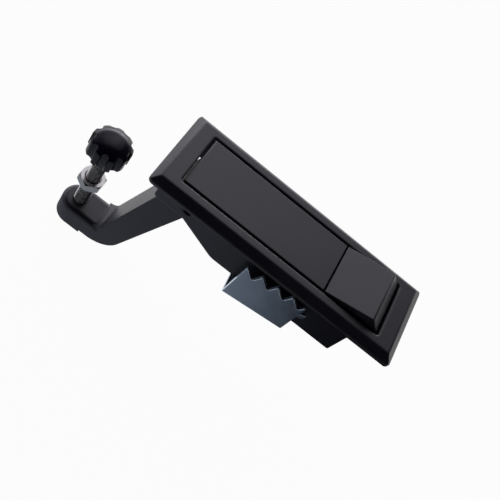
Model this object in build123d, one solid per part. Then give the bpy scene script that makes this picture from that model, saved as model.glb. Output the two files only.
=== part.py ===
from build123d import *
from math import atan2, cos, pi, radians, sin, sqrt, tan
import os

# Flush lever compression latch: a flanged tray is let into a door panel, a lever lies flush in its front
# and carries an arm whose adjusting stud pulls against the frame. A wedge trigger lets the lever go, and a
# toothed bracket behind the panel clamps the tray.
#
# Millimetres. +X runs along the flange from the arm end to the trigger end, +Y across it, and +Z out of
# the panel towards the hand. The origin is the middle of the flange outline on the plane that seats on
# the panel.

# ---- driving dimensions ----------------------------------------------------------------

# Fits
running_clearance = 0.05        # radial, pins, studs and threads that turn or slide
rest_clearance = 0.3            # between pieces of one body that only lie close

# Flange
flange_length = 140.0
flange_width = 50.0
flange_height = 5.0
flange_corner_radius = 2.8
edge_wall_height = 1.4          # upright part of the flange's outer edge, below its bevel
bevel_width = 4.1
crest_round = 1.4               # from the front into the bevel
bevel_foot_round = 0.6
seat_rim_width = 2.0
seat_recess_depth = 1.8
seat_rib_width = 1.6
seat_rib_pitch = 21.0

# Front opening
border_left = 12.0
border_right = 12.8
opening_width = 33.0
opening_lip = 1.8               # depth of the lip round the opening, before the tray widens
opening_corner_round = 0.8
opening_edge_round = 0.8

# Tray behind the flange
tray_wall = 2.4
tray_width = 38.4
tray_left_margin = 6.0          # flange end to tray end, at the arm
tray_right_margin = 10.0        # flange end to tray end, at the trigger
tray_depth = 24.5
mouth_depth = 13.6              # side walls beside the arm
mouth_length = 17.3
mouth_slope_length = 22.1
mouth_opening_length = 47.0     # open floor, for the arm's swing
end_draft_angle = 1.5
trigger_pocket_length = 11.3    # shallow end of the tray, under the trigger
trigger_pocket_depth = 7.2
trigger_pocket_wall = 2.0
tray_end_round = 3.0
tray_bend_round = 9.0
tray_corner_round = 1.0
tray_core_round = 1.5
arm_pin_window_radius = 2.8

# Lever
lever_left_gap = 1.0
lever_side_gap = 1.1
lever_thickness = 2.4
lever_skirt_depth = 4.1
lever_skirt_wall = 1.8
lever_edge_round = 1.0
lever_top_fillet = 0.35
lever_low_round = 0.3
lever_pivot_inset = 24.7        # from the lever's end to its pivot
lever_cheek_thickness = 2.8
lever_cheek_radius = 5.2
lever_pin_rim = 2.6              # cheek round the arm pin
lever_rib_width = 1.8
lever_rib_depth = 4.6
lever_rib_count = 4
lever_rib_end_gap = 4.0
lever_nose_width = 10.0
lever_nose_height = 2.3
lever_nose_reach = 2.2
lever_nose_round = 1.2
lever_nose_drop = 12.7          # lever front to the top of the nose

# Pins
lever_pin_radius = 2.0
trigger_pin_radius = 1.5
catch_pin_radius = 1.5
arm_pin_radius = 2.0
pin_cover = 0.3                 # seat plane to a pin's head
pin_rim = 0.9                   # of a pin's head and clip, past the pin
pin_head_height = 0.9
pin_tail = 1.9                  # pin standing out of the wall at the clip
clip_thickness = 0.8
groove_share = 0.75             # groove radius over pin radius
clip_mouth_share = 1.5          # clip mouth over groove radius
spacer_wall = 0.7

# Arm
arm_width = 19.0
arm_top_gap = 0.4
arm_front_inset = 1.1           # tray end to the arm's front face, at arm_front_z
arm_front_z = -26.5
arm_front_lean = 14.5           # degrees from upright
arm_depth = 16.4                # front face to back face, at arm_front_z
arm_back_lean = 17.8
arm_neck_depth = 21.9           # front face to the neck
arm_neck_z = -12.5
arm_boss_radius = 4.4
arm_pin_inset = 10.3            # lever's end to the arm pin
arm_pin_z = -6.8
foot_top_z = -81.5
foot_thickness = 12.5
foot_inner_radius = 5.0
foot_outer_radius = 18.0
foot_pad_height = 1.8
foot_pad_reach = 9.4            # stud to the pad's step
foot_edge_round = 3.2
arm_head_round = 1.0
arm_shoulder_round = 6.0
arm_neck_round = 5.0

# Adjusting stud, lock nut and knob
stud_reach = 30.9               # tray end to stud
stud_radius = 4.0
stud_tail = 2.8                 # stud below the foot
stud_engagement = 9.0           # stud inside the knob
stud_chamfer = 0.8
nut_across_flats = 13.0
nut_height = 5.0
nut_bottom_z = -63.5
nut_turn = 30.0                 # degrees
nut_countersink = 0.6
knob_centre_z = -31.5
knob_radius = 10.9
knob_height = 18.2
knob_lobes = 9
knob_flute_radius = 2.3
knob_flute_depth = 2.1
knob_neck_radius = 6.6
knob_neck_height = 2.6
knob_waist_rise = 4.4           # bottom to the widest part
knob_low_round = 0.8
knob_waist_round = 1.0
knob_shoulder_round = 1.4
knob_dome_radius = 15.4
knob_bush_cap = 1.0             # bush past the stud's end
knob_bush_radius = 5.2
knob_bush_height = 0.4

# Trigger
split_gap = 0.8
trigger_right_gap = 1.5
trigger_length = 30.8
trigger_rise = 5.9              # ridge above the flange front
trigger_ramp_back = 5.4         # ridge to the trigger's far end
trigger_ridge_round = 1.6
trigger_core_round = 0.5
trigger_far_round = 0.4
trigger_roof_wall = 0.8         # above the core at the far end
trigger_root_reach = 1.5
trigger_wall = 2.0
trigger_skirt_left_z = -0.6
trigger_skirt_right_z = 1.0
trigger_pivot_inset = 3.9
trigger_ear_radius = 3.4
pusher_reach = 14.6             # catch pivot to the rib
pusher_length = 3.0
pusher_width = 7.0
pusher_round = 0.8

# Catch under the trigger
catch_offset = 3.6              # lever's end to the catch pivot
catch_z = -16.0
catch_width = 8.0
catch_hub_radius = 3.0
catch_tip_reach = 2.6
catch_top_z = -5.4
catch_tip_height = 2.0
catch_stem_width = 2.8
catch_tail_reach = 16.6
catch_tail_top_z = -11.0
catch_tail_thickness = 2.4
catch_tail_root = 3.2           # tail thickness at the hub
catch_climb_length = 3.0        # of the step up to the tail
catch_round = 1.0
catch_post_width = 3.0
catch_post_half_length = 3.4
catch_post_round = 2.4

# Catch spring
spring_reach = 10.5             # catch pivot to spring
spring_radius = 2.6
spring_wire_radius = 0.5
spring_turns = 3.5
spring_wire_sides = 6

# Clamp bracket, its screw and washers
clamp_offset = 11.85            # middle of the tray's deep part to the screw
clamp_skew = 6.0                # degrees about the screw
bracket_width = 50.6
bracket_sheet = 2.0
bracket_bend_radius = 2.3
bracket_bottom_z = -30.9
bracket_tip_z = -2.4
tooth_pitch = 8.6
tooth_depth = 7.2
tooth_count = 5
tooth_valley_share = 0.7
tooth_gullet_radius = 1.5
tooth_tip_radius = 0.5
bracket_tab_reach = 3.1
bracket_tab_drop = 6.8
bracket_tab_height = 3.4
bracket_tab_slope = 1.3         # of its upper and lower sides
bracket_tab_round = 1.1
bracket_notch_round = 0.5
screw_radius = 3.0
screw_head_radius = 6.0
screw_head_height = 3.6
screw_head_chamfer = 1.4
screw_socket_flats = 4.0
screw_socket_depth = 2.2
screw_end_z = -16.5
screw_boss_radius = 5.6
screw_boss_top_z = -14.0
washer_radius = 6.4
washer_thickness = 1.6
lock_washer_radius = 5.6
lock_washer_thickness = 1.6
lock_washer_split = 1.4

# ---- places worked out from them ----------------------------------------------------------------

half_length = flange_length / 2
half_width = flange_width / 2

opening_left = -half_length + border_left
opening_right = half_length - border_right
opening_half = opening_width / 2

tray_left = -half_length + tray_left_margin
pocket_right = half_length - tray_right_margin
tray_right = pocket_right - trigger_pocket_length
tray_half = tray_width / 2
inner_half = tray_half - tray_wall
floor_z = -tray_depth + tray_wall
pocket_floor_z = -trigger_pocket_depth + trigger_pocket_wall
mouth_end = tray_left + mouth_length
slope_end = mouth_end + mouth_slope_length
floor_start = tray_left + mouth_opening_length

trigger_right = opening_right - trigger_right_gap
trigger_left = trigger_right - trigger_length
lever_left = opening_left + lever_left_gap
lever_right = trigger_left - split_gap
lever_half = opening_half - lever_side_gap
lever_under_z = flange_height - lever_thickness
skirt_bottom_z = flange_height - lever_skirt_depth
lever_pivot_x = lever_left + lever_pivot_inset
lever_pivot_z = -lever_pin_radius - pin_rim - pin_cover
arm_pin_x = lever_left + arm_pin_inset
cheek_inner = arm_width / 2 + rest_clearance
cheek_outer = cheek_inner + lever_cheek_thickness

ridge_x = trigger_right - trigger_ramp_back
ridge_z = flange_height + trigger_rise
trigger_pivot_x = trigger_left + trigger_pivot_inset
trigger_pivot_z = -trigger_pin_radius - pin_rim - pin_cover

catch_x = lever_right + catch_offset
catch_tip_x = catch_x - catch_tip_reach
catch_tail_x = catch_x + catch_tail_reach
pusher_x = catch_x + pusher_reach
pusher_bottom_z = catch_tail_top_z + rest_clearance
spring_x = catch_x + spring_reach

stud_x = tray_left - stud_reach
arm_front_x = tray_left + arm_front_inset
arm_back_x = arm_front_x + arm_depth
arm_neck_x = arm_front_x + arm_neck_depth
foot_bottom_z = foot_top_z - foot_thickness
pad_bottom_z = foot_bottom_z - foot_pad_height
foot_end_radius = arm_width / 2
knob_bottom_z = knob_centre_z - knob_height / 2
knob_top_z = knob_centre_z + knob_height / 2
knob_waist_z = knob_bottom_z + knob_waist_rise
stud_top_z = knob_bottom_z + stud_engagement
bush_top_z = stud_top_z + knob_bush_cap
stud_bottom_z = pad_bottom_z - stud_tail

clamp_x = (tray_left + tray_right) / 2 + clamp_offset
bracket_length = tooth_pitch * (tooth_count - 1)
web_top_z = bracket_bottom_z + bracket_sheet
washer_top_z = bracket_bottom_z
lock_washer_top_z = washer_top_z - washer_thickness
screw_seat_z = lock_washer_top_z - lock_washer_thickness


# ---- shapes used by several pieces ----------------------------------------------------------------

def rounded_face(corners):
    """Face inside straight sides, each corner (u, v, radius) rounded by its own radius."""
    count = len(corners)
    arcs = []
    for index in range(count):
        before = Vector(*corners[index - 1][:2])
        here = Vector(*corners[index][:2])
        after = Vector(*corners[(index + 1) % count][:2])
        radius = corners[index][2]
        back = (before - here).normalized()
        ahead = (after - here).normalized()
        half_angle = radians(back.get_angle(ahead)) / 2
        reach = radius / tan(half_angle)
        inward = (back + ahead).normalized()
        middle = here + inward * (radius / sin(half_angle) - radius)
        arcs.append((here + back * reach, middle, here + ahead * reach, radius))
    edges = []
    for index in range(count):
        start, middle, end, radius = arcs[index]
        if radius > 0:
            edges.append(ThreePointArc(start, middle, end))
        following = arcs[(index + 1) % count][0]
        if (following - end).length > 1e-6:
            edges.append(Line(end, following))
    return make_face(edges)


def prism_y(face, y_low, y_high):
    """A face drawn as X and Z, carried along Y."""
    return extrude(Plane.XZ.offset(-y_high) * face, amount=y_high - y_low)


def prism_pair(face, inner, outer):
    """The same prism on both sides of the middle plane."""
    return prism_y(face, inner, outer) + prism_y(face, -outer, -inner)


def prism_x(face, x_low, x_high):
    """A face drawn as Y and Z, carried along X."""
    return extrude(Plane.YZ.offset(x_low) * face, amount=x_high - x_low)


def prism_z(face, z_low, z_high):
    """A face drawn as X and Y, carried along Z."""
    return extrude(Pos(0, 0, z_low) * face, amount=z_high - z_low)


def box_between(x_low, x_high, y_low, y_high, z_low, z_high):
    size = Box(x_high - x_low, y_high - y_low, z_high - z_low)
    return Pos((x_low + x_high) / 2, (y_low + y_high) / 2, (z_low + z_high) / 2) * size


def rod_y(x, z, radius, y_low, y_high):
    return prism_y(Pos(x, z) * Circle(radius), y_low, y_high)


def rod_z(x, y, radius, z_low, z_high):
    return prism_z(Pos(x, y) * Circle(radius), z_low, z_high)


def turned_z(x, y, corners):
    """Solid of revolution about an upright axis, from corners (radius, z, rounding)."""
    return Pos(x, y, 0) * revolve(Plane.XZ * rounded_face(corners), Axis.Z)


def across_corners(flats):
    return flats / cos(pi / 6) / 2


# ---- housing ----------------------------------------------------------------

def flange_section(half):
    """Section of the plate: upright edge, bevel and flat front."""
    return rounded_face([
        (-half, 0, 0), (half, 0, 0),
        (half, edge_wall_height, bevel_foot_round), (half - bevel_width, flange_height, crest_round),
        (-half + bevel_width, flange_height, crest_round), (-half, edge_wall_height, bevel_foot_round)])


def flange():
    """Plate with a bevel round its front, mitred at the corners, and rounded corners in plan."""
    plan = RectangleRounded(flange_length, flange_width, flange_corner_radius)
    along = prism_y(flange_section(half_length), -half_width, half_width)
    across = prism_x(flange_section(half_width), -half_length, half_length)
    return along & across & prism_z(plan, 0, flange_height)


def seat_recess():
    """Cored groove behind the flange, between its rim and the tray, crossed by ribs."""
    outline = RectangleRounded(
        flange_length - 2 * seat_rim_width, flange_width - 2 * seat_rim_width, flange_corner_radius)
    tray_plan = Pos((tray_left + pocket_right) / 2, 0) * Rectangle(pocket_right - tray_left, tray_width)
    ring = prism_z(outline - tray_plan, 0, seat_recess_depth)
    rib_count = int((tray_right - tray_left) / seat_rib_pitch)
    first = (tray_left + tray_right) / 2 - seat_rib_pitch * (rib_count - 1) / 2
    for index in range(rib_count):
        x = first + index * seat_rib_pitch
        ring -= box_between(
            x - seat_rib_width / 2, x + seat_rib_width / 2, -half_width, half_width, 0, seat_recess_depth)
    for x in (-half_length, pocket_right):
        ring -= box_between(
            x, x + half_length - pocket_right, -seat_rib_width / 2, seat_rib_width / 2, 0, seat_recess_depth)
    return ring


def tray_outside():
    """Side profile: shallow beside the arm, sloping down to the deep part, shallow again at the trigger."""
    draft = tan(radians(end_draft_angle)) * (tray_depth - trigger_pocket_depth)
    profile = rounded_face([
        (tray_left, 0, 0),
        (tray_left, -mouth_depth, tray_end_round),
        (mouth_end, -mouth_depth, tray_core_round),
        (slope_end, -tray_depth, tray_bend_round),
        (tray_right - draft, -tray_depth, tray_corner_round),
        (tray_right, -trigger_pocket_depth, tray_corner_round),
        (pocket_right, -trigger_pocket_depth, tray_core_round),
        (pocket_right, 0, 0)])
    return prism_y(profile, -tray_half, tray_half)


def tray_inside():
    """Space inside the tray, with its floor left out at the arm's mouth."""
    draft = tan(radians(end_draft_angle)) * (tray_depth - trigger_pocket_depth)
    below = -tray_depth - tray_wall
    top = flange_height - opening_lip
    deep = rounded_face([
        (tray_left + tray_wall, top, 0),
        (tray_left + tray_wall, below, 0),
        (floor_start, below, 0),
        (floor_start, floor_z, 0),
        (tray_right - draft - tray_wall, floor_z, tray_core_round),
        (tray_right - tray_wall, pocket_floor_z, tray_corner_round),
        (pocket_right - tray_wall, pocket_floor_z, tray_core_round),
        (pocket_right - tray_wall, top, 0)])
    return prism_y(deep, -inner_half, inner_half)


def front_opening():
    plan = RectangleRounded(opening_right - opening_left, opening_width, opening_corner_round)
    place = Pos((opening_left + opening_right) / 2, 0)
    return prism_z(place * plan, flange_height - opening_lip, flange_height)


def catch_posts():
    """Two posts on the tray floor that hold the catch pin."""
    post = rounded_face([
        (catch_x - catch_post_half_length, floor_z - tray_wall / 2, 0),
        (catch_x + catch_post_half_length, floor_z - tray_wall / 2, 0),
        (catch_x + catch_post_half_length, catch_z + catch_hub_radius, catch_post_round),
        (catch_x - catch_post_half_length, catch_z + catch_hub_radius, catch_post_round)])
    inner = catch_width / 2 + rest_clearance
    return prism_pair(post, inner, inner + catch_post_width)


def clamp_boss():
    return rod_z(clamp_x, 0, screw_boss_radius, floor_z - tray_wall / 2, screw_boss_top_z)


def housing():
    body = flange() + tray_outside()
    body -= tray_inside()
    body -= front_opening()
    body -= seat_recess()
    body += catch_posts()
    body += clamp_boss()
    body -= rod_z(clamp_x, 0, screw_radius + running_clearance, -tray_depth - 1, screw_boss_top_z + 1)
    body -= rod_y(lever_pivot_x, lever_pivot_z, lever_pin_radius, -tray_half, tray_half)
    body -= rod_y(trigger_pivot_x, trigger_pivot_z, trigger_pin_radius, -tray_half, tray_half)
    body -= rod_y(catch_x, catch_z, catch_pin_radius, -inner_half, inner_half)
    body -= rod_y(arm_pin_x, arm_pin_z, arm_pin_window_radius, -tray_half, tray_half)
    front = body.faces().sort_by(Axis.Z)[-1]
    return fillet(front.inner_wires()[0].edges(), opening_edge_round)


# ---- pins and small hardware ----------------------------------------------------------------

def headed_pin(x, z, radius):
    """Pin through both tray walls, its head outside one and a clip groove outside the other."""
    shank = rod_y(x, z, radius, -tray_half, tray_half + pin_tail)
    head = rod_y(x, z, radius + pin_rim, -tray_half - pin_head_height, -tray_half)
    groove = rod_y(x, z, radius, tray_half, tray_half + clip_thickness)
    core = rod_y(x, z, radius * groove_share, tray_half, tray_half + clip_thickness)
    return shank + head - (groove - core)


def pin_clip(x, z, radius):
    """Open retaining ring in the pin's groove, lying on the tray wall."""
    bore = radius * groove_share
    ring = Circle(radius + pin_rim) - Circle(bore)
    mouth = Pos(0, -radius - pin_rim) * Rectangle(bore * clip_mouth_share, 2 * (radius + pin_rim))
    return prism_y(Pos(x, z) * (ring - mouth), tray_half, tray_half + clip_thickness)


def lever_spacers():
    """Tubes on the lever pin that keep the cheeks central between the tray walls."""
    ring = Circle(lever_pin_radius + spacer_wall) - Circle(lever_pin_radius)
    return prism_pair(
        Pos(lever_pivot_x, lever_pivot_z) * ring, cheek_outer + rest_clearance, inner_half)


def catch_pin():
    reach = catch_width / 2 + rest_clearance + catch_post_width
    return rod_y(catch_x, catch_z, catch_pin_radius, -reach, reach)


def arm_pin():
    return rod_y(arm_pin_x, arm_pin_z, arm_pin_radius, -cheek_outer, cheek_outer)


# ---- lever ----------------------------------------------------------------

def lever_plate():
    """Flush plate with a shallow skirt all round its underside."""
    side = rounded_face([
        (lever_left, skirt_bottom_z, lever_low_round), (lever_right, skirt_bottom_z, lever_low_round),
        (lever_right, flange_height, lever_top_fillet), (lever_left, flange_height, lever_edge_round)])
    section = rounded_face([
        (-lever_half, skirt_bottom_z, lever_low_round), (lever_half, skirt_bottom_z, lever_low_round),
        (lever_half, flange_height, lever_top_fillet), (-lever_half, flange_height, lever_top_fillet)])
    block = prism_y(side, -lever_half, lever_half) & prism_x(section, lever_left, lever_right)
    hollow = box_between(
        lever_left + lever_skirt_wall, lever_right - lever_skirt_wall,
        -lever_half + lever_skirt_wall, lever_half - lever_skirt_wall, skirt_bottom_z, lever_under_z)
    return block - hollow


def lever_ribs():
    """Ribs under the grip, one along the middle and several across."""
    low = flange_height - lever_rib_depth
    start = lever_pivot_x + lever_cheek_radius + lever_rib_end_gap
    end = lever_right - lever_nose_reach - lever_rib_end_gap
    half = lever_rib_width / 2
    ribs = box_between(start, end, -half, half, low, lever_under_z)
    for index in range(lever_rib_count):
        x = start + (end - start) * index / (lever_rib_count - 1)
        ribs += box_between(
            x - half, x + half, -lever_half + lever_skirt_wall, lever_half - lever_skirt_wall,
            low, lever_under_z)
    return ribs


def lever_cheeks():
    """Two cheeks that hold the arm's head between them, on the pivot and the arm pin."""
    pivot_round = Pos(lever_pivot_x, lever_pivot_z) * Circle(lever_cheek_radius)
    pin_round = Pos(arm_pin_x, arm_pin_z) * Circle(arm_pin_radius + lever_pin_rim)
    rim_left = arm_pin_x - arm_pin_radius - lever_pin_rim
    along = atan2(lever_pivot_z - arm_pin_z, lever_pivot_x - arm_pin_x)
    drop = Vector(sin(along), -cos(along))
    low_pin = Vector(arm_pin_x, arm_pin_z) + drop * (arm_pin_radius + lever_pin_rim)
    low_pivot = Vector(lever_pivot_x, lever_pivot_z) + drop * lever_cheek_radius
    web = make_face(Polyline(
        (rim_left, lever_under_z), (rim_left, arm_pin_z),
        (low_pin.X, low_pin.Y), (low_pivot.X, low_pivot.Y),
        (lever_pivot_x + lever_cheek_radius, lever_pivot_z),
        (lever_pivot_x + lever_cheek_radius, lever_under_z), close=True))
    cheek = pivot_round + pin_round + web
    return prism_pair(cheek, cheek_inner, cheek_outer)


def lever_nose():
    """Hanging nose that the catch holds down."""
    top = flange_height - lever_nose_drop
    low = top - lever_nose_height
    root = lever_right - lever_nose_reach - lever_skirt_wall
    buried = lever_under_z + lever_thickness / 4
    nose = rounded_face([
        (root - lever_skirt_wall, buried, 0), (root - lever_skirt_wall, low, lever_nose_round),
        (lever_right - rest_clearance, low, lever_nose_round / 2),
        (lever_right - rest_clearance, top, lever_low_round),
        (root, top, lever_nose_round / 2), (root, buried, 0)])
    return prism_y(nose, -lever_nose_width / 2, lever_nose_width / 2)


def lever():
    body = lever_plate() + lever_ribs() + lever_cheeks() + lever_nose()
    body -= rod_y(
        lever_pivot_x, lever_pivot_z, lever_pin_radius + running_clearance, -cheek_outer, cheek_outer)
    body -= rod_y(arm_pin_x, arm_pin_z, arm_pin_radius, -cheek_outer, cheek_outer)
    return body


# ---- arm ----------------------------------------------------------------

def arm_front_at(z):
    return arm_front_x + (z - arm_front_z) * tan(radians(arm_front_lean))


def arm_back_at(z):
    return arm_back_x + (z - arm_front_z) * tan(radians(arm_back_lean))


def arm_profile():
    """Side view: head between the cheeks, leaning riser and the foot turned away from the tray."""
    head_top = lever_under_z - arm_top_gap
    head_left = lever_left + lever_skirt_wall + rest_clearance
    step_z = skirt_bottom_z - rest_clearance
    foot_left = stud_x - foot_end_radius
    return rounded_face([
        (head_left, head_top, arm_head_round),
        (head_left, step_z, 0),
        (arm_front_at(step_z), step_z, arm_head_round / 2),
        (arm_front_at(foot_top_z), foot_top_z, foot_inner_radius),
        (foot_left, foot_top_z, 0),
        (foot_left, foot_bottom_z, 0),
        (arm_back_at(foot_bottom_z), foot_bottom_z, foot_outer_radius),
        (arm_back_x, arm_front_z, arm_shoulder_round),
        (arm_neck_x, arm_neck_z, arm_neck_round),
        (lever_pivot_x, lever_pivot_z - arm_boss_radius, 0),
        (lever_pivot_x, head_top, 0)])


def foot_outline(far):
    """Plan of the foot: straight sides that end in a half circle round the stud."""
    straight = Pos((stud_x + far) / 2, 0) * Rectangle(far - stud_x, arm_width)
    return straight + Pos(stud_x, 0) * Circle(foot_end_radius)


def foot_rounding():
    """What rounding takes off the foot's upper edges, running out where the riser starts."""
    end = arm_front_at(foot_top_z)
    slab = prism_z(foot_outline(end), foot_bottom_z, foot_top_z)
    rim = slab.edges().filter_by_position(Axis.Z, foot_top_z, foot_top_z)
    outer_rim = rim.filter_by_position(Axis.X, stud_x - foot_end_radius, end - rest_clearance)
    return slab - fillet(outer_rim, foot_edge_round)


def arm():
    whole = prism_y(arm_profile(), -arm_width / 2, arm_width / 2)
    whole &= prism_z(foot_outline(lever_pivot_x + 2 * arm_boss_radius), foot_bottom_z, flange_height)
    body = whole - foot_rounding()
    body += rod_y(lever_pivot_x, lever_pivot_z, arm_boss_radius, -arm_width / 2, arm_width / 2)
    body += prism_z(foot_outline(stud_x + foot_pad_reach), pad_bottom_z, foot_bottom_z)
    body -= rod_y(lever_pivot_x, lever_pivot_z, lever_pin_radius + running_clearance, -arm_width, arm_width)
    body -= rod_y(arm_pin_x, arm_pin_z, arm_pin_radius, -arm_width, arm_width)
    body -= rod_z(stud_x, 0, stud_radius + running_clearance, pad_bottom_z - 1, foot_top_z + 1)
    return body


# ---- adjusting stud, nut and knob ----------------------------------------------------------------

def adjusting_stud():
    return turned_z(stud_x, 0, [
        (0, stud_bottom_z, 0), (stud_radius - stud_chamfer, stud_bottom_z, 0),
        (stud_radius, stud_bottom_z + stud_chamfer, 0), (stud_radius, stud_top_z, 0), (0, stud_top_z, 0)])


def lock_nut():
    """Hexagon nut with its corners turned off on both faces."""
    corner = across_corners(nut_across_flats)
    hexagon = prism_z(RegularPolygon(corner, 6), 0, nut_height)
    cut = (corner - nut_across_flats / 2) * tan(pi / 6)
    turned = turned_z(0, 0, [
        (0, 0, 0), (nut_across_flats / 2, 0, 0), (corner, cut, 0),
        (corner, nut_height - cut, 0), (nut_across_flats / 2, nut_height, 0), (0, nut_height, 0)])
    bore = stud_radius + running_clearance
    sink = bore + nut_countersink
    drilled = turned_z(0, 0, [
        (0, 0, 0), (sink, 0, 0), (bore, nut_countersink, 0), (bore, nut_height - nut_countersink, 0),
        (sink, nut_height, 0), (0, nut_height, 0)])
    return Pos(stud_x, 0, nut_bottom_z) * Rot(0, 0, nut_turn) * ((hexagon & turned) - drilled)


def knob():
    """Fluted hand knob under a shallow dome, hollowed below for its bush."""
    neck_top = knob_bottom_z + knob_neck_height
    body = turned_z(0, 0, [
        (0, knob_bottom_z, 0), (knob_neck_radius, knob_bottom_z, knob_low_round),
        (knob_neck_radius, neck_top, knob_low_round), (knob_radius, knob_waist_z, knob_waist_round),
        (knob_radius, knob_top_z, 0), (0, knob_top_z, 0)])
    dome_centre_z = knob_top_z - knob_dome_radius
    body &= Pos(0, 0, dome_centre_z) * Sphere(knob_dome_radius)
    shoulder_z = dome_centre_z + sqrt(knob_dome_radius ** 2 - knob_radius ** 2)
    shoulder = body.edges().filter_by_position(Axis.Z, shoulder_z - rest_clearance, shoulder_z + rest_clearance)
    body = fillet(shoulder.filter_by(GeomType.CIRCLE), knob_shoulder_round)
    flute_x = knob_radius + knob_flute_radius - knob_flute_depth
    flute = rod_z(flute_x, 0, knob_flute_radius, knob_bottom_z, knob_top_z)
    for index in range(knob_lobes):
        body -= Rot(0, 0, 360 * index / knob_lobes) * flute
    body -= rod_z(0, 0, knob_bush_radius, knob_bottom_z, bush_top_z)
    return Pos(stud_x, 0, 0) * body


def knob_bush():
    """Metal bush moulded into the knob, its end just proud below."""
    low = knob_bottom_z - knob_bush_height
    bush = rod_z(stud_x, 0, knob_bush_radius, low, bush_top_z)
    return bush - rod_z(stud_x, 0, stud_radius + running_clearance, low, stud_top_z + rest_clearance)


# ---- trigger ----------------------------------------------------------------

def trigger_shell():
    """Wedge rising from the lever's end to a ridge and falling to the flange, cored from below."""
    side = rounded_face([
        (trigger_left, trigger_skirt_left_z, 0),
        (trigger_right, trigger_skirt_right_z, 0),
        (trigger_right, flange_height, trigger_far_round),
        (ridge_x, ridge_z, trigger_ridge_round),
        (trigger_left, flange_height, lever_top_fillet)])
    inside = rounded_face([
        (trigger_left + trigger_wall, trigger_skirt_left_z - 1, 0),
        (trigger_right - trigger_wall, trigger_skirt_left_z - 1, 0),
        (trigger_right - trigger_wall, flange_height - trigger_roof_wall, trigger_core_round),
        (ridge_x, ridge_z - trigger_wall, trigger_core_round),
        (trigger_left + trigger_wall, flange_height - trigger_wall, trigger_core_round)])
    shell = prism_y(side, -lever_half, lever_half)
    return shell - prism_y(inside, -lever_half + trigger_wall, lever_half - trigger_wall)


def trigger_ears():
    ear = Pos(trigger_pivot_x, trigger_pivot_z) * Circle(trigger_ear_radius)
    root = make_face(Polyline(
        (trigger_pivot_x - trigger_ear_radius, trigger_pivot_z),
        (trigger_pivot_x + trigger_ear_radius, trigger_pivot_z),
        (trigger_pivot_x + trigger_ear_radius + trigger_root_reach, lever_under_z),
        (trigger_left, lever_under_z), close=True))
    return prism_pair(ear + root, lever_half - trigger_wall, lever_half)


def trigger_pusher():
    """Rib under the ridge that presses on the catch's tail."""
    slope = trigger_rise / (ridge_x - trigger_left)
    roof = flange_height + slope * (pusher_x - trigger_left) - trigger_wall / 2
    left = pusher_x - pusher_length / 2
    right = pusher_x + pusher_length / 2
    rib = rounded_face([
        (left, pusher_bottom_z, pusher_round), (right, pusher_bottom_z, pusher_round),
        (right, roof, 0), (left, roof, 0)])
    return prism_y(rib, -pusher_width / 2, pusher_width / 2)


def trigger():
    body = trigger_shell() + trigger_ears() + trigger_pusher()
    bore = trigger_pin_radius + running_clearance
    return body - rod_y(trigger_pivot_x, trigger_pivot_z, bore, -lever_half, lever_half)


# ---- catch and its spring ----------------------------------------------------------------

def catch():
    """Rocker: a hook up to the lever's nose on one side and a tail under the trigger's rib on the other."""
    stem_left = catch_x - catch_stem_width / 2
    stem_right = catch_x + catch_stem_width / 2
    hook_low = catch_top_z - catch_tip_height
    hook = rounded_face([
        (stem_left, catch_z, 0), (stem_left, hook_low, catch_round / 2),
        (catch_tip_x, hook_low, catch_round / 4),
        (catch_tip_x, hook_low + catch_tip_height / 2, catch_round / 4),
        (stem_left, catch_top_z, catch_round), (stem_right, catch_top_z, catch_round),
        (stem_right, catch_z, 0)])
    tail_low = catch_tail_top_z - catch_tail_thickness
    root_half = catch_tail_root / 2
    climb_start = catch_x + catch_hub_radius
    climb_end = climb_start + catch_climb_length
    tail = rounded_face([
        (catch_x, catch_z - root_half, 0), (climb_start + root_half, catch_z - root_half, 2 * catch_round),
        (climb_end + root_half, tail_low, 2 * catch_round),
        (catch_tail_x, tail_low, catch_round), (catch_tail_x, catch_tail_top_z, catch_round),
        (climb_end, catch_tail_top_z, 2 * catch_round), (climb_start, catch_z + root_half, 2 * catch_round),
        (catch_x, catch_z + root_half, 0)])
    half = catch_width / 2
    body = rod_y(catch_x, catch_z, catch_hub_radius, -half, half)
    body += prism_y(hook, -half, half) + prism_y(tail, -half, half)
    return body - rod_y(catch_x, catch_z, catch_pin_radius + running_clearance, -half, half)


def catch_spring():
    """Compression coil between the tray floor and the catch's tail."""
    bottom = floor_z + spring_wire_radius
    top = catch_tail_top_z - catch_tail_thickness - spring_wire_radius - rest_clearance
    height = top - bottom
    path = Helix(pitch=height / spring_turns, height=height, radius=spring_radius)
    wire = RegularPolygon(spring_wire_radius, spring_wire_sides)
    coil = sweep(Plane(path @ 0, z_dir=path % 0) * wire, path=path)
    return Pos(spring_x, 0, bottom) * coil


# ---- clamp bracket ----------------------------------------------------------------

def leg_outline():
    """Leg seen square on: saw teeth along the top, and a small rounded tab at the end of the last tooth."""
    left = -bracket_length / 2
    right = bracket_length / 2
    valley_z = bracket_tip_z - tooth_depth
    side_low = bracket_bottom_z + bracket_bend_radius
    corners = [(left, side_low, 0)]
    for index in range(tooth_count):
        tip = left + index * tooth_pitch
        corners.append((tip, bracket_tip_z, tooth_tip_radius))
        if index < tooth_count - 1:
            corners.append((tip + tooth_valley_share * tooth_pitch, valley_z, tooth_gullet_radius))
    tab_top = bracket_tip_z - bracket_tab_drop
    tab_low = tab_top - bracket_tab_height
    corners += [
        (right, tab_top - bracket_tab_slope, bracket_notch_round),
        (right + bracket_tab_reach, tab_top, bracket_tab_round),
        (right + bracket_tab_reach, tab_low, bracket_tab_round),
        (right, tab_low - bracket_tab_slope, bracket_notch_round),
        (right, side_low, 0)]
    return rounded_face(corners)


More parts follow.
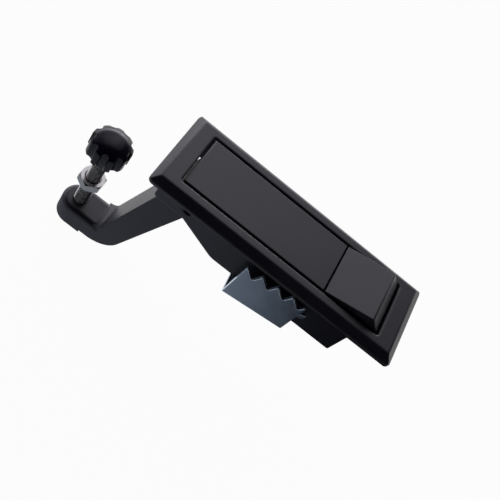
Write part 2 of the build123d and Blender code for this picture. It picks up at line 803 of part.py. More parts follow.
def clamp_bracket():
    """Bent sheet channel, its toothed legs astride the tray, turned a little about its screw."""
    half = bracket_width / 2
    inner = half - bracket_sheet
    outer_radius = bracket_bend_radius
    inner_radius = bracket_bend_radius - bracket_sheet
    top = bracket_bottom_z + bracket_bend_radius
    outside = rounded_face([
        (-half, bracket_bottom_z, outer_radius), (half, bracket_bottom_z, outer_radius),
        (half, top, 0), (-half, top, 0)])
    inside = rounded_face([
        (-inner, web_top_z, inner_radius), (inner, web_top_z, inner_radius),
        (inner, top + 1, 0), (-inner, top + 1, 0)])
    channel = prism_x(outside, -bracket_length / 2, bracket_length / 2)
    channel -= prism_x(inside, -bracket_length / 2, bracket_length / 2)
    bracket = channel + prism_pair(leg_outline(), inner, half)
    bracket -= rod_z(0, 0, screw_radius + rest_clearance, bracket_bottom_z - 1, web_top_z + 1)
    return Pos(clamp_x, 0, 0) * Rot(0, 0, clamp_skew) * bracket


def clamp_washer():
    ring = Circle(washer_radius) - Circle(screw_radius + rest_clearance)
    return prism_z(Pos(clamp_x, 0) * ring, lock_washer_top_z, washer_top_z)


def clamp_lock_washer():
    """Split spring washer."""
    ring = Circle(lock_washer_radius) - Circle(screw_radius + rest_clearance)
    split = Pos(lock_washer_radius, 0) * Rectangle(2 * lock_washer_radius, lock_washer_split)
    return prism_z(Pos(clamp_x, 0) * (ring - split), screw_seat_z, lock_washer_top_z)


def clamp_screw():
    """Pan head screw with a hexagon socket, threaded into the tray's boss."""
    head_low = screw_seat_z - screw_head_height
    shank = turned_z(clamp_x, 0, [
        (0, head_low + screw_socket_depth, 0), (screw_radius, head_low + screw_socket_depth, 0),
        (screw_radius, screw_end_z - stud_chamfer, 0), (screw_radius - stud_chamfer, screw_end_z, 0),
        (0, screw_end_z, 0)])
    head = turned_z(clamp_x, 0, [
        (0, head_low, 0), (screw_head_radius - screw_head_chamfer, head_low, 0),
        (screw_head_radius, head_low + screw_head_chamfer, 0),
        (screw_head_radius, screw_seat_z, 0), (0, screw_seat_z, 0)])
    socket = Pos(clamp_x, 0) * RegularPolygon(across_corners(screw_socket_flats), 6)
    return shank + head - prism_z(socket, head_low - 1, head_low + screw_socket_depth)


# ---- files ----------------------------------------------------------------

def main():
    pieces = {
        "housing": housing(),
        "lever": lever(),
        "lever_pin": headed_pin(lever_pivot_x, lever_pivot_z, lever_pin_radius),
        "lever_pin_clip": pin_clip(lever_pivot_x, lever_pivot_z, lever_pin_radius),
        "lever_spacers": lever_spacers(),
        "arm": arm(),
        "arm_pin": arm_pin(),
        "adjusting_stud": adjusting_stud(),
        "lock_nut": lock_nut(),
        "knob": knob(),
        "knob_bush": knob_bush(),
        "trigger": trigger(),
        "trigger_pin": headed_pin(trigger_pivot_x, trigger_pivot_z, trigger_pin_radius),
        "trigger_pin_clip": pin_clip(trigger_pivot_x, trigger_pivot_z, trigger_pin_radius),
        "catch": catch(),
        "catch_pin": catch_pin(),
        "catch_spring": catch_spring(),
        "clamp_bracket": clamp_bracket(),
        "clamp_washer": clamp_washer(),
        "clamp_lock_washer": clamp_lock_washer(),
        "clamp_screw": clamp_screw(),
    }
    os.makedirs("parts", exist_ok=True)
    for name, shape in pieces.items():
        export_step(shape, f"parts/{name}.step")


main()
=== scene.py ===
import math

import bpy
from bpy.props import FloatProperty, FloatVectorProperty, PointerProperty
from mathutils import Matrix, Vector


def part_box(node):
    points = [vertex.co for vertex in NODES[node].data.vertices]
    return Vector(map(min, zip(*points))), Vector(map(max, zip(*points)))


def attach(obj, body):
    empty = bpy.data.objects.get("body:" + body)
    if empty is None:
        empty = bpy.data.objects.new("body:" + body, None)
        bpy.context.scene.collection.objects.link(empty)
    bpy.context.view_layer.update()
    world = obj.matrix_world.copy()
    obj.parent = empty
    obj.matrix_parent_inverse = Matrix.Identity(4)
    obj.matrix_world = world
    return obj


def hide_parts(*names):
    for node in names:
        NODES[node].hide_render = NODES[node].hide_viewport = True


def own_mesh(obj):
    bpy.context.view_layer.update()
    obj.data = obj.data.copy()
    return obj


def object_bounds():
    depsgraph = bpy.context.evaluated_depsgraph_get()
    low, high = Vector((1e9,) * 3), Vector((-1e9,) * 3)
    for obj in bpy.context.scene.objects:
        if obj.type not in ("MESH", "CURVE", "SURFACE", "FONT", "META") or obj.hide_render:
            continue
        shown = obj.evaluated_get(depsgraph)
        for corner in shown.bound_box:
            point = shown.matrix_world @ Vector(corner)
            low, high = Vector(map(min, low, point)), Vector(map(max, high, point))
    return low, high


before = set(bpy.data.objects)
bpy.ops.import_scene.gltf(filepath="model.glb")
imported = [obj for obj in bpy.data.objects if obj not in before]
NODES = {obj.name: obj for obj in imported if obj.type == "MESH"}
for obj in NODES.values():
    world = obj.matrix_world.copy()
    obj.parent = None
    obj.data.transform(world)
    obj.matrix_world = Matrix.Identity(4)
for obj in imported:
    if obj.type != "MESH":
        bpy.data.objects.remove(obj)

bl_info = {
    "name": "Flush Lever Compression Latch",
    "version": (1, 0, 0),
    "blender": (4, 5, 0),
    "location": "View3D > Sidebar > Latch",
    "description": "Finishes and details a flush lever compression latch",
    "category": "Object",
}

CAD_LOW, CAD_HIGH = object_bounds()
MM = 0.001
WHITE = (1.0, 1.0, 1.0)


# ---- sizes and colours a user would change ---------------------------------------------------

class LatchForm(bpy.types.PropertyGroup):
    """Small forms that the finish adds to the construction."""

    casting_edge: FloatProperty(
        name="Casting edge", description="Rounding of the castings' sharp edges",
        default=0.35 * MM, unit="LENGTH")
    coat_flow: FloatProperty(
        name="Coat flow", description="How far the thick coat softens the castings' creases",
        default=1.5 * MM, unit="LENGTH")
    sheet_edge: FloatProperty(
        name="Sheet edge", description="Rounding of the pressed sheet's cut edges",
        default=0.3 * MM, unit="LENGTH")
    hardware_edge: FloatProperty(
        name="Hardware edge", description="Rounding of pins, nut and screw edges",
        default=0.2 * MM, unit="LENGTH")
    stud_pitch: FloatProperty(
        name="Stud pitch", description="Thread pitch of the adjusting stud",
        default=1.25 * MM, unit="LENGTH")
    spring_wire: FloatProperty(
        name="Spring wire", description="Thickness of the catch spring's wire",
        default=0.9 * MM, unit="LENGTH")
    spring_turns: FloatProperty(
        name="Spring turns", description="Turns of the catch spring between its closed ends",
        default=3.5)
    spring_pressed: FloatProperty(
        name="Spring pressed", description="Share of its height that the spring keeps when pressed",
        subtype="FACTOR", default=0.62)
    stud_chamfer: FloatProperty(
        name="Stud chamfer", description="Chamfer at the ends of the adjusting stud",
        default=0.8 * MM, unit="LENGTH")
    thread_share: FloatProperty(
        name="Thread depth share", description="Depth of a thread over its pitch",
        default=0.44, subtype="FACTOR")


class LatchFinish(bpy.types.PropertyGroup):
    """Colours and gloss of the finishes."""

    coat_colour: FloatVectorProperty(
        name="Coat", description="Black powder coat", subtype="COLOR", size=3,
        default=(0.0110, 0.0100, 0.0190))
    coat_roughness: FloatProperty(
        name="Coat roughness", description="Roughness of the powder coat", subtype="FACTOR",
        default=0.42)
    zinc_colour: FloatVectorProperty(
        name="Zinc", description="Bright zinc plating", subtype="COLOR", size=3,
        default=(0.64, 0.755, 0.87))
    zinc_roughness: FloatProperty(
        name="Zinc roughness", description="Roughness of the zinc plating", subtype="FACTOR",
        default=0.34)
    steel_colour: FloatVectorProperty(
        name="Plated steel", description="Plated studs, nuts and pins", subtype="COLOR", size=3,
        default=(0.50, 0.49, 0.49))
    steel_roughness: FloatProperty(
        name="Steel roughness", description="Roughness of plated hardware", subtype="FACTOR",
        default=0.24)
    knob_colour: FloatVectorProperty(
        name="Knob", description="Glossy black moulding", subtype="COLOR", size=3,
        default=(0.005, 0.005, 0.012))
    knob_roughness: FloatProperty(
        name="Knob roughness", description="Roughness of the knob", subtype="FACTOR", default=0.17)
    spring_colour: FloatVectorProperty(
        name="Spring wire", description="Drawn spring steel", subtype="COLOR", size=3,
        default=(0.30, 0.29, 0.28))
    spring_roughness: FloatProperty(
        name="Spring roughness", description="Roughness of the spring steel", subtype="FACTOR",
        default=0.34)
    nylon_colour: FloatVectorProperty(
        name="Nylon", description="Natural nylon", subtype="COLOR", size=3,
        default=(0.74, 0.72, 0.66))


class LatchStage(bpy.types.PropertyGroup):
    """Camera and studio."""

    aim: FloatVectorProperty(
        name="Aim", description="Point that the camera looks at", unit="LENGTH", size=3,
        default=(-14.11 * MM, -19.78 * MM, 0.0))
    distance: FloatProperty(
        name="Distance", description="Camera to aim point", unit="LENGTH", default=354.05 * MM)
    azimuth: FloatProperty(
        name="Azimuth", description="Heading of the view, from +Y towards +X", unit="ROTATION",
        default=math.radians(10.922))
    elevation: FloatProperty(
        name="Elevation", description="Height of the camera above the horizon", unit="ROTATION",
        default=math.radians(51.514))
    roll: FloatProperty(
        name="Roll", description="Turn of the picture's top towards the left", unit="ROTATION",
        default=math.radians(46.900))
    lens: FloatProperty(
        name="Lens", description="Focal length in millimetres on a 36 mm sensor", unit="CAMERA",
        default=55.985)
    key_power: FloatProperty(
        name="Key power", description="Soft box above the latch, in watts", default=0.7)
    far_light: FloatProperty(
        name="Far light", description="Strength of the room's pale far wall", default=2.15)
    near_light: FloatProperty(
        name="Near light", description="Strength of the room's dark near side", default=0.0)
    floor_colour: FloatVectorProperty(
        name="Floor", description="Pale floor", subtype="COLOR", size=3,
        default=(0.82, 0.82, 0.83))
    floor_gap: FloatProperty(
        name="Floor gap", description="Latch's lowest point to the floor below and the card above",
        unit="LENGTH",
        default=0.5 * MM)
    floor_white: FloatProperty(
        name="Floor white", description="Share of plain white that the camera sees in the floor",
        subtype="FACTOR", default=0.965)


# ---- shader trees ----------------------------------------------------------------------------

class Wire:
    """A shader socket that plain arithmetic turns into Math nodes."""

    def __init__(self, recipe, socket):
        self.recipe = recipe
        self.socket = socket

    def _math(self, operation, first, second):
        return self.recipe.node("ShaderNodeMath", {"operation": operation}, {0: first, 1: second})

    def __add__(self, other):
        return self._math("ADD", self, other)

    def __sub__(self, other):
        return self._math("SUBTRACT", self, other)

    def __mul__(self, other):
        return self._math("MULTIPLY", self, other)


class Recipe:
    """One material's or world's node tree, filled from its surface backwards."""

    def __init__(self, name, world=False):
        self.owner = bpy.data.worlds.new(name) if world else bpy.data.materials.new(name)
        self.owner.use_nodes = True
        self.tree = self.owner.node_tree
        self.tree.nodes.clear()
        kind = "ShaderNodeOutputWorld" if world else "ShaderNodeOutputMaterial"
        self.output = self.tree.nodes.new(kind)

    def node(self, kind, settings=None, sockets=None, output=0):
        """Adds a node, gives it its settings, feeds its sockets and returns one output."""
        made = self.tree.nodes.new(kind)
        for key, value in (settings or {}).items():
            setattr(made, key, value)
        for key, value in (sockets or {}).items():
            self.feed(made.inputs[key], value)
        return Wire(self, made.outputs[output])

    def feed(self, socket, value):
        """Links a wire to the socket, or sets the constant on it."""
        if isinstance(value, Wire):
            self.tree.links.new(value.socket, socket)
        elif socket.type == "RGBA" and len(value) == 3:
            socket.default_value = (*value, 1.0)
        else:
            socket.default_value = value

    def place(self, scale=(1.0, 1.0, 1.0)):
        """The point on the piece in metres, stretched by scale."""
        point = self.node("ShaderNodeTexCoord", output="Object")
        return self.node("ShaderNodeMapping", None, {"Vector": point, "Scale": scale}, "Vector")

    def noise(self, scale, detail=3.0, roughness=0.5, stretch=(1.0, 1.0, 1.0)):
        """Noise with about scale spots a metre."""
        return self.node(
            "ShaderNodeTexNoise", None,
            {"Vector": self.place(stretch), "Scale": scale, "Detail": detail, "Roughness": roughness})

    def range(self, value, low, high, to_low=0.0, to_high=1.0):
        """Maps low..high to to_low..to_high and stays within them."""
        return self.node(
            "ShaderNodeMapRange", {"clamp": True},
            {"Value": value, "From Min": low, "From Max": high,
             "To Min": to_low, "To Max": to_high})

    def tint(self, share, low, high):
        """Colour between low and high."""
        return self.node(
            "ShaderNodeMix", {"data_type": "RGBA"}, {"Factor": share, "A": low, "B": high},
            "Result")

    def edges(self, radius):
        """1 along sharp edges within radius, 0 on open faces."""
        flat_facing, edge_facing = 0.995, 0.90
        rounded = self.softened(radius)
        flat = self.node("ShaderNodeNewGeometry", output="Normal")
        facing = self.node(
            "ShaderNodeVectorMath", {"operation": "DOT_PRODUCT"}, {0: rounded, 1: flat}, "Value")
        return self.range(facing, flat_facing, edge_facing)

    def softened(self, radius):
        """The surface's normal, turned smoothly across creases within radius."""
        return self.node("ShaderNodeBevel", {"samples": 8}, {"Radius": radius})

    def bump(self, height, distance, strength, normal=None):
        """Relief of the given depth, over the normal where one is given."""
        sockets = {"Height": height, "Distance": distance, "Strength": strength}
        if normal is not None:
            sockets["Normal"] = normal
        return self.node("ShaderNodeBump", None, sockets)

    def surface(self, **sockets):
        """Principled surface; names use underscores for spaces."""
        named = {key.replace("_", " "): value for key, value in sockets.items()}
        return self.finish(self.node("ShaderNodeBsdfPrincipled", None, named))

    def finish(self, shader):
        """Joins the shader to the output and returns the material or world."""
        self.tree.links.new(shader.socket, self.output.inputs["Surface"])
        return self.owner


def scaled(colour, factor):
    """Colour made darker or lighter by factor, at most white."""
    return tuple(min(1.0, channel * factor) for channel in colour)


def powder_coat(name, colour, roughness, flow, grain=1.0):
    """Satin powder coat: soft creases, orange peel, fine grain, faint dust, and edges that are polished
    and lightened, partly as wear and partly as a painted highlight.
    """
    make = Recipe(name)
    peel = make.noise(900.0, 2.0)
    grit = make.noise(4200.0, 2.0, 0.6)
    cloud = make.noise(28.0, 4.0, 0.6)
    specks = make.range(make.noise(2600.0, 1.0), 0.70, 0.78)
    edge = make.edges(0.5 * MM) * make.range(make.noise(420.0, 3.0), 0.35, 0.65)
    body = make.tint(cloud, scaled(colour, 0.86), scaled(colour, 1.16))
    dusted = make.tint(specks * 0.22, body, scaled(colour, 4.0))
    # edges lightened towards 3.2 times the coat colour: partly wear, partly a painted highlight along the
    # edges
    edge_wear_and_highlight = make.tint(edge * 0.35, dusted, scaled(colour, 3.2))
    height = peel * 0.55 + grit * 0.45
    spread = 0.06
    gloss = make.range(grit * 0.5 + cloud * 0.5, 0.25, 0.75, roughness - spread, roughness + spread)
    grain_depth = 0.012 * MM * grain
    return make.surface(
        Base_Color=edge_wear_and_highlight,
        Roughness=gloss - edge * 0.08,
        IOR=1.6,
        Normal=make.bump(height, grain_depth, 0.9, make.softened(flow)))


def zinc_plate(name, colour, roughness):
    """Bright zinc on pressed sheet: rolling lines, soft spangle and a painted highlight along the cut
    edges.
    """
    make = Recipe(name)
    lines = make.noise(260.0, 3.0, 0.6, (0.12, 1.0, 3.0))
    spangle = make.noise(240.0, 2.0)
    haze = make.noise(45.0, 4.0, 0.65)
    scratches = make.range(make.noise(700.0, 2.0, 0.5, (0.05, 1.0, 1.6)), 0.66, 0.74)
    edge = make.edges(0.35 * MM)
    # near-white painted highlight along the sheet's edges
    edge_highlight_colour = (0.95, 0.96, 0.98)
    plated = make.tint(haze, scaled(colour, 0.82), scaled(colour, 1.1))
    streaked = make.tint(lines * 0.25, plated, scaled(colour, 1.25))
    gloss = make.range(haze * 0.6 + spangle * 0.4, 0.3, 0.7, roughness - 0.08, roughness + 0.1)
    scratch_depth = 0.006 * MM
    return make.surface(
        Base_Color=make.tint(edge * 0.9, streaked, edge_highlight_colour),
        Metallic=1.0,
        Roughness=gloss - scratches * 0.08,
        Normal=make.bump(lines * 0.6 + scratches * 0.4, scratch_depth, 0.7))


def plated_steel(name, colour, roughness, lay=(1.0, 1.0, 14.0)):
    """Bright plated steel with the fine rings that turning or drawing leaves, and a painted highlight
    along its edges.
    """
    make = Recipe(name)
    rings = make.noise(330.0, 3.0, 0.6, lay)
    haze = make.noise(110.0, 3.0, 0.6)
    edge = make.edges(0.25 * MM)
    body = make.tint(haze, scaled(colour, 0.78), scaled(colour, 1.12))
    # near-white painted highlight along the hardware's edges
    steel_edge_highlight = (0.92, 0.92, 0.93)
    ring_depth = 0.005 * MM
    return make.surface(
        Base_Color=make.tint(edge * 0.6, body, steel_edge_highlight),
        Metallic=1.0,
        Roughness=make.range(haze * 0.5 + rings * 0.5, 0.3, 0.7, roughness - 0.07, roughness + 0.09),
        Normal=make.bump(rings, ring_depth, 0.6))


def moulded_gloss(name, colour, roughness):
    """Glossy thermoset: flow ripples, pin-fine dust and light handling marks."""
    make = Recipe(name)
    flow = make.noise(120.0, 3.0, 0.55)
    dust = make.range(make.noise(3000.0, 1.0), 0.72, 0.80)
    rubbed = make.range(make.noise(260.0, 4.0, 0.7), 0.52, 0.75)
    body = make.tint(flow, colour, scaled(colour, 1.5))
    ripple_depth = 0.03 * MM
    return make.surface(
        Base_Color=make.tint(dust * 0.3, body, scaled(colour, 7.0)),
        Roughness=make.range(rubbed + dust * 0.5, 0.0, 1.0, roughness, roughness + 0.16),
        IOR=1.36,
        Normal=make.bump(flow, ripple_depth, 0.6))


def natural_nylon(name, colour):
    """Off-white nylon, slightly cloudy."""
    make = Recipe(name)
    cloud = make.noise(300.0, 3.0)
    cloud_depth = 0.01 * MM
    return make.surface(
        Base_Color=make.tint(cloud, scaled(colour, 0.9), scaled(colour, 1.05)),
        Roughness=make.range(cloud, 0.3, 0.7, 0.42, 0.56),
        Normal=make.bump(cloud, cloud_depth, 0.6))


# ---- helpers for pieces ----------------------------------------------------------------------

def dress(names, material, edge=0.0):
    """Gives construction pieces their finish and rounds their sharp edges."""
    for name in names:
        piece = NODES[name]
        piece.data.materials.clear()
        piece.data.materials.append(material)
        if edge > 0.0:
            soften(piece, edge)


def soften(piece, edge):
    """Welds, dissolves flat triangles and rounds sharp edges, all as modifiers."""
    weld_distance = 0.002 * MM
    flat_angle, sharp_angle = math.radians(0.6), math.radians(38.0)
    weld = piece.modifiers.new("Weld", "WELD")
    weld.merge_threshold = weld_distance
    flatten = piece.modifiers.new("Flatten", "DECIMATE")
    flatten.decimate_type = "DISSOLVE"
    flatten.angle_limit = flat_angle
    bevel = piece.modifiers.new("Round", "BEVEL")
    bevel.width = edge
    bevel.segments = 3
    bevel.limit_method = "ANGLE"
    bevel.angle_limit = sharp_angle
    bevel.miter_outer = "MITER_ARC"
    bevel.harden_normals = True


def add_piece(name, vertices, faces, material, smooth=True):
    """Adds a mesh object with one material to the scene."""
    mesh = bpy.data.meshes.new(name)
    mesh.from_pydata(vertices, [], faces)
    mesh.validate()
    mesh.materials.append(material)
    for face in mesh.polygons:
        face.use_smooth = smooth
    piece = bpy.data.objects.new(name, mesh)
    bpy.context.scene.collection.objects.link(piece)
    return piece


def threaded_rod(name, node, radius, pitch, depth, chamfer, material):
    """Rod with a cut thread all along the node's box, with chamfered ends."""
    low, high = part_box(node)
    centre = (low + high) / 2
    around, per_pitch = 40, 8
    crest_share, flank_share = 0.12, 0.72
    rows = int((high.z - low.z) / pitch * per_pitch)
    vertices, faces = [], []
    for row in range(rows + 1):
        z = low.z + (high.z - low.z) * row / rows
        taper = max(0.0, chamfer - min(z - low.z, high.z - z))
        for step in range(around):
            angle = 2 * math.pi * step / around
            phase = ((z - low.z) / pitch - step / around) % 1.0
            flank = abs(2 * phase - 1)
            cut = depth * min(1.0, max(0.0, (flank - crest_share) / flank_share))
            r = min(radius - cut, radius - taper)
            out = Vector((math.cos(angle), math.sin(angle), 0.0))
            vertices.append(Vector((centre.x, centre.y, z)) + out * r)
    for row in range(rows):
        for step in range(around):
            a, b = row * around + step, row * around + (step + 1) % around
            faces.append((a, b, b + around, a + around))
    faces.append(tuple(reversed(range(around))))
    faces.append(tuple(rows * around + step for step in range(around)))
    return add_piece(name, vertices, faces, material)


def compression_coil(name, node, wire, turns, material):
    """Round wire wound to the node's box, with a closed turn at each end."""
    low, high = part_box(node)
    centre = (low + high) / 2
    radius = (high.x - low.x - wire) / 2
    closed, per_turn, around = 1.0, 28, 12
    total = turns + 2 * closed
    rise = (high.z - low.z - wire) - 2 * closed * wire
    vertices, faces = [], []
    steps = int(total * per_turn)
    for step in range(steps + 1):
        turn = total * step / steps
        open_part = min(max(turn - closed, 0.0), turns)
        z = low.z + wire / 2 + wire * (turn - open_part) + rise * open_part / turns
        angle = 2 * math.pi * turn
        out = Vector((math.cos(angle), math.sin(angle), 0.0))
        middle = Vector((centre.x, centre.y, z)) + out * radius
        for side in range(around):
            lean = 2 * math.pi * side / around
            offset = out * math.cos(lean) + Vector((0, 0, 1)) * math.sin(lean)
            vertices.append(middle + offset * (wire / 2))
    for step in range(steps):
        for side in range(around):
            a, b = step * around + side, step * around + (side + 1) % around
            faces.append((a, a + around, b + around, b))
    faces.append(tuple(range(around)))
    faces.append(tuple(reversed(range(steps * around, (steps + 1) * around))))
    return add_piece(name, vertices, faces, material)


# ---- operators -------------------------------------------------------------------------------

class LATCH_OT_coated_castings(bpy.types.Operator):
    """Finish the housing, lever, trigger and arm in powder coat"""

    bl_idname = "latch.coated_castings"
    bl_label = "Coated Castings"

    def execute(self, context):
        form, finish = context.scene.latch_form, context.scene.latch_finish
        colour, roughness = finish.coat_colour, finish.coat_roughness
        # the arm's coat is a 1.15 times lighter copy of the frame's coat, a painted light that brightens
        # the arm's lit front
        arm_painted_light, arm_extra_roughness, arm_grain = 1.15, 0.03, 1.4
        frame_coat = powder_coat("frame_coat", colour, roughness, form.coat_flow)
        plate_coat = powder_coat("plate_coat", colour, roughness, form.coat_flow / 3)
        arm_coat = powder_coat(
            "arm_coat", scaled(colour, arm_painted_light), roughness + arm_extra_roughness,
            form.coat_flow / 2, arm_grain)
        dress(("housing",), frame_coat, form.casting_edge)
        dress(("lever", "trigger"), plate_coat, form.casting_edge)
        dress(("arm",), arm_coat, form.casting_edge * 2)
        return {"FINISHED"}


class LATCH_OT_clamp_bracket(bpy.types.Operator):
    """Finish the toothed bracket, its washers and the catch in zinc plate"""

    bl_idname = "latch.clamp_bracket"
    bl_label = "Clamp Bracket"

    def execute(self, context):
        form, finish = context.scene.latch_form, context.scene.latch_finish
        zinc = zinc_plate("zinc_plate", finish.zinc_colour, finish.zinc_roughness)
        dress(("clamp_bracket", "clamp_washer", "clamp_lock_washer", "catch"), zinc, form.sheet_edge)
        return {"FINISHED"}


class LATCH_OT_pins_and_clips(bpy.types.Operator):
    """Finish the pins, clips, spacers and spring"""

    bl_idname = "latch.pins_and_clips"
    bl_label = "Pins and Clips"

    def execute(self, context):
        form, finish = context.scene.latch_form, context.scene.latch_finish
        along_pin = (14.0, 1.0, 14.0)
        even = (3.0, 3.0, 3.0)
        steel = plated_steel("pin_steel", finish.steel_colour, finish.steel_roughness, along_pin)
        wire = plated_steel("spring_wire", finish.spring_colour, finish.spring_roughness, even)
        dress(("lever_pin", "trigger_pin", "catch_pin", "arm_pin"), steel, form.hardware_edge)
        dress(("lever_pin_clip", "trigger_pin_clip"), wire, form.hardware_edge / 2)
        dress(("lever_spacers",), natural_nylon("nylon", finish.nylon_colour))
        self.spring(form, wire)
        return {"FINISHED"}

    @staticmethod
    def spring(form, wire):
        """Round-wire spring in the place of the plain one."""
        coil = compression_coil(
            "catch_coil", "catch_spring", form.spring_wire, form.spring_turns, wire)
        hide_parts("catch_spring")
        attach(coil, "tray")
        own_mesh(coil)


class LATCH_OT_adjusting_stud(bpy.types.Operator):
    """Cut the adjusting stud's thread and finish its lock nut"""

    bl_idname = "latch.adjusting_stud"
    bl_label = "Adjusting Stud"

    def execute(self, context):
        form, finish = context.scene.latch_form, context.scene.latch_finish
        steel = plated_steel("hardware_steel", finish.steel_colour, finish.steel_roughness)
        low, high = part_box("adjusting_stud")
        stud = threaded_rod(
            "threaded_stud", "adjusting_stud", (high.x - low.x) / 2, form.stud_pitch,
            form.stud_pitch * form.thread_share, form.stud_chamfer, steel)
        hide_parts("adjusting_stud")
        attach(stud, "stud")
        dress(("lock_nut", "knob_bush"), steel, form.hardware_edge)
        return {"FINISHED"}


class LATCH_OT_clamp_screw(bpy.types.Operator):
    """Finish the clamp screw"""

    bl_idname = "latch.clamp_screw"
    bl_label = "Clamp Screw"

    def execute(self, context):
        form, finish = context.scene.latch_form, context.scene.latch_finish
        steel = plated_steel("screw_steel", finish.steel_colour, finish.steel_roughness)
        dress(("clamp_screw",), steel, form.hardware_edge)
        return {"FINISHED"}


class LATCH_OT_hand_knob(bpy.types.Operator):
    """Finish the hand knob"""

    bl_idname = "latch.hand_knob"
    bl_label = "Hand Knob"

    def execute(self, context):
        form, finish = context.scene.latch_form, context.scene.latch_finish
        gloss = moulded_gloss("knob_plastic", finish.knob_colour, finish.knob_roughness)
        dress(("knob",), gloss, form.casting_edge * 2)
        return {"FINISHED"}


def seen_by_background_rays(make):
    """1 for rays that show the background: the camera's, and those off metal, gloss and glass."""
    rays = [make.node("ShaderNodeLightPath", output=name)
            for name in ("Is Camera Ray", "Is Glossy Ray", "Is Transmission Ray")]
    return rays[0], make.range(rays[1] + rays[2], 0.0, 1.0)


def sheet(name, x_low, x_high, y_low, y_high, height, material):
    """One level rectangle."""
    corners = [(x_low, y_low, height), (x_high, y_low, height),
               (x_high, y_high, height), (x_low, y_high, height)]
    return add_piece(name, corners, [(0, 1, 2, 3)], material, False)


def studio_floor(colour, height, white_share):
    """Pale floor that shows white to the camera and in reflections, and keeps a soft shadow."""
    make = Recipe("studio_floor")
    cloud = make.noise(3.0, 2.0)
    camera, mirrored = seen_by_background_rays(make)
    tone = make.tint(cloud, scaled(colour, 0.98), colour)
    pale = make.node("ShaderNodeBsdfDiffuse", None, {"Color": tone})
    white = make.node("ShaderNodeEmission", None, {"Color": WHITE, "Strength": 1.0})
    share = make.range(camera + mirrored, 0.0, 1.0, 0.0, white_share)
    material = make.finish(make.node("ShaderNodeMixShader", None, {0: share, 1: pale, 2: white}))
    reach = 6.0
    floor = sheet("floor", -reach, reach, -reach, reach, height, material)


def room_light(stage):
    """Room with a pale far wall, a dimmer ceiling and a dark near side, on a white ground."""
    make = Recipe("room", True)
    way = make.node("ShaderNodeTexCoord", output="Generated")
    along, away, up = [make.node("ShaderNodeSeparateXYZ", None, {0: way}, axis) for axis in "XYZ"]
    wall_skew = -0.25
    low_wall, ceiling_top = 3.2, 0.46
    right_dark, left_dark = 0.05, 0.5
    room_tint = (0.96, 0.94, 1.02)
    shade = make.range(away + along * wall_skew, -0.05, 0.50, stage.near_light, stage.far_light)
    ceiling = make.range(up, 0.08, 0.34, low_wall, ceiling_top)
    right_end = make.range(along, -0.02, 0.44, 1.0, right_dark)
    left_end = make.range(along, -0.70, -0.10, left_dark, 1.0)
    strength = shade * ceiling * right_end * left_end
    room = make.node("ShaderNodeBackground", None, {"Color": room_tint, "Strength": strength})
    white = make.node("ShaderNodeBackground", None, {"Color": WHITE, "Strength": 1.0})
    camera, mirrored = seen_by_background_rays(make)
    near_ground = make.range(up, 0.10, 0.02)
    share = make.range(camera + mirrored * near_ground, 0.0, 1.0)
    return make.finish(make.node("ShaderNodeMixShader", None, {0: share, 1: room, 2: white}))


def soft_box(name, place, aim, size, power):
    """White rectangular lamp at place, turned to aim."""
    light = bpy.data.lights.new(name, "AREA")
    light.shape = "RECTANGLE"
    light.size, light.size_y = size
    light.energy = power
    light.color = WHITE
    lamp = bpy.data.objects.new(name, light)
    bpy.context.scene.collection.objects.link(lamp)
    lamp.location = place
    lamp.rotation_mode = "QUATERNION"
    lamp.rotation_quaternion = (Vector(aim) - Vector(place)).to_track_quat("-Z", "Y")


def shade_card(x_low, x_high, y_low, y_high, height):
    """Dark card before the latch, seen only in reflections, that gives the near sides depth."""
    make = Recipe("shade_card")
    felt = make.noise(400.0, 2.0)
    along = make.node("ShaderNodeSeparateXYZ", None, {0: make.place()}, "X")
    fade = make.range(along + felt * 0.01, -0.06, 0.075)
    arm_end_grey, trigger_end_grey = (0.31, 0.33, 0.38), (0.0, 0.002, 0.006)
    grey = make.tint(fade, arm_end_grey, trigger_end_grey)
    felted = make.finish(make.node("ShaderNodeEmission", None, {"Color": grey, "Strength": 1.0}))
    card = sheet("shade_card", x_low, x_high, y_low, y_high, height, felted)
    card.visible_camera = False
    card.visible_shadow = False
    card.visible_diffuse = False


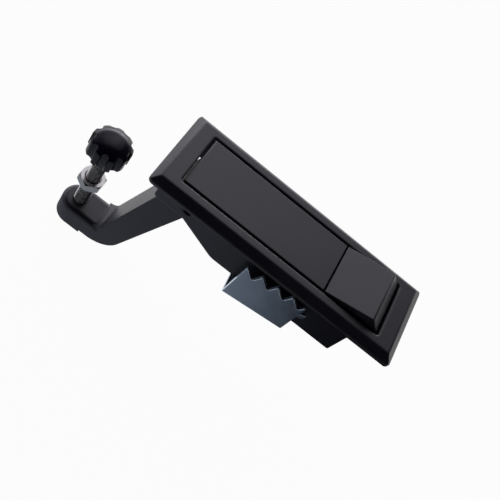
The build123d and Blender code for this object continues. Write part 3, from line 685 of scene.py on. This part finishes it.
class LATCH_OT_studio(bpy.types.Operator):
    """Set the floor, the shade card, the soft box, the room's light and the camera"""

    bl_idname = "latch.studio"
    bl_label = "Studio"

    def execute(self, context):
        scene, stage = context.scene, context.scene.latch_stage
        ground = CAD_LOW.z
        studio_floor(stage.floor_colour, ground - stage.floor_gap, stage.floor_white)
        shade_card(-0.30, 0.45, -0.60, 0.015, ground + stage.floor_gap)
        soft_box("key_box", (-0.15, 0.45, 0.80), (0, 0, 0), (1.2, 0.8), stage.key_power)
        scene.world = room_light(stage)
        self.camera(scene, stage)
        scene.view_settings.view_transform = "Standard"
        return {"FINISHED"}

    @staticmethod
    def camera(scene, stage):
        """Places the camera by heading, height and distance from its aim, rolled about its view."""
        heading = Vector((math.sin(stage.azimuth), math.cos(stage.azimuth), 0.0))
        forward = heading * math.cos(stage.elevation) - Vector((0, 0, 1)) * math.sin(stage.elevation)
        data = bpy.data.cameras.new("camera")
        data.sensor_width = 36.0
        data.lens = stage.lens
        data.clip_start, data.clip_end = 0.01, 30.0
        camera = bpy.data.objects.new("camera", data)
        scene.collection.objects.link(camera)
        camera.rotation_mode = "QUATERNION"
        level = forward.to_track_quat("-Z", "Y").to_matrix()
        camera.rotation_quaternion = (Matrix.Rotation(-stage.roll, 3, forward) @ level).to_quaternion()
        camera.location = Vector(stage.aim) - forward * stage.distance
        scene.camera = camera


class LATCH_PT_panel(bpy.types.Panel):
    """Lists the latch's pieces and stage"""

    bl_idname = "LATCH_PT_panel"
    bl_label = "Compression Latch"
    bl_space_type = "VIEW_3D"
    bl_region_type = "UI"
    bl_category = "Latch"

    def draw(self, context):
        layout = self.layout
        for settings in (context.scene.latch_form, context.scene.latch_finish, context.scene.latch_stage):
            box = layout.box()
            for name in settings.bl_rna.properties.keys():
                if name not in ("rna_type", "name"):
                    box.prop(settings, name)
        for operator in OPERATORS:
            layout.operator(operator.bl_idname)


SETTINGS = (LatchForm, LatchFinish, LatchStage)
OPERATORS = (
    LATCH_OT_coated_castings, LATCH_OT_clamp_bracket, LATCH_OT_pins_and_clips, LATCH_OT_adjusting_stud,
    LATCH_OT_clamp_screw, LATCH_OT_hand_knob, LATCH_OT_studio)


def register():
    for item in (*SETTINGS, *OPERATORS, LATCH_PT_panel):
        bpy.utils.register_class(item)
    bpy.types.Scene.latch_form = PointerProperty(type=LatchForm)
    bpy.types.Scene.latch_finish = PointerProperty(type=LatchFinish)
    bpy.types.Scene.latch_stage = PointerProperty(type=LatchStage)


def unregister():
    del bpy.types.Scene.latch_stage, bpy.types.Scene.latch_finish, bpy.types.Scene.latch_form
    for item in reversed((*SETTINGS, *OPERATORS, LATCH_PT_panel)):
        bpy.utils.unregister_class(item)


def main():
    register()
    bpy.ops.latch.coated_castings()
    bpy.ops.latch.clamp_bracket()
    bpy.ops.latch.pins_and_clips()
    bpy.ops.latch.adjusting_stud()
    bpy.ops.latch.clamp_screw()
    bpy.ops.latch.hand_knob()
    bpy.ops.latch.studio()


if __name__ == "__main__":
    main()
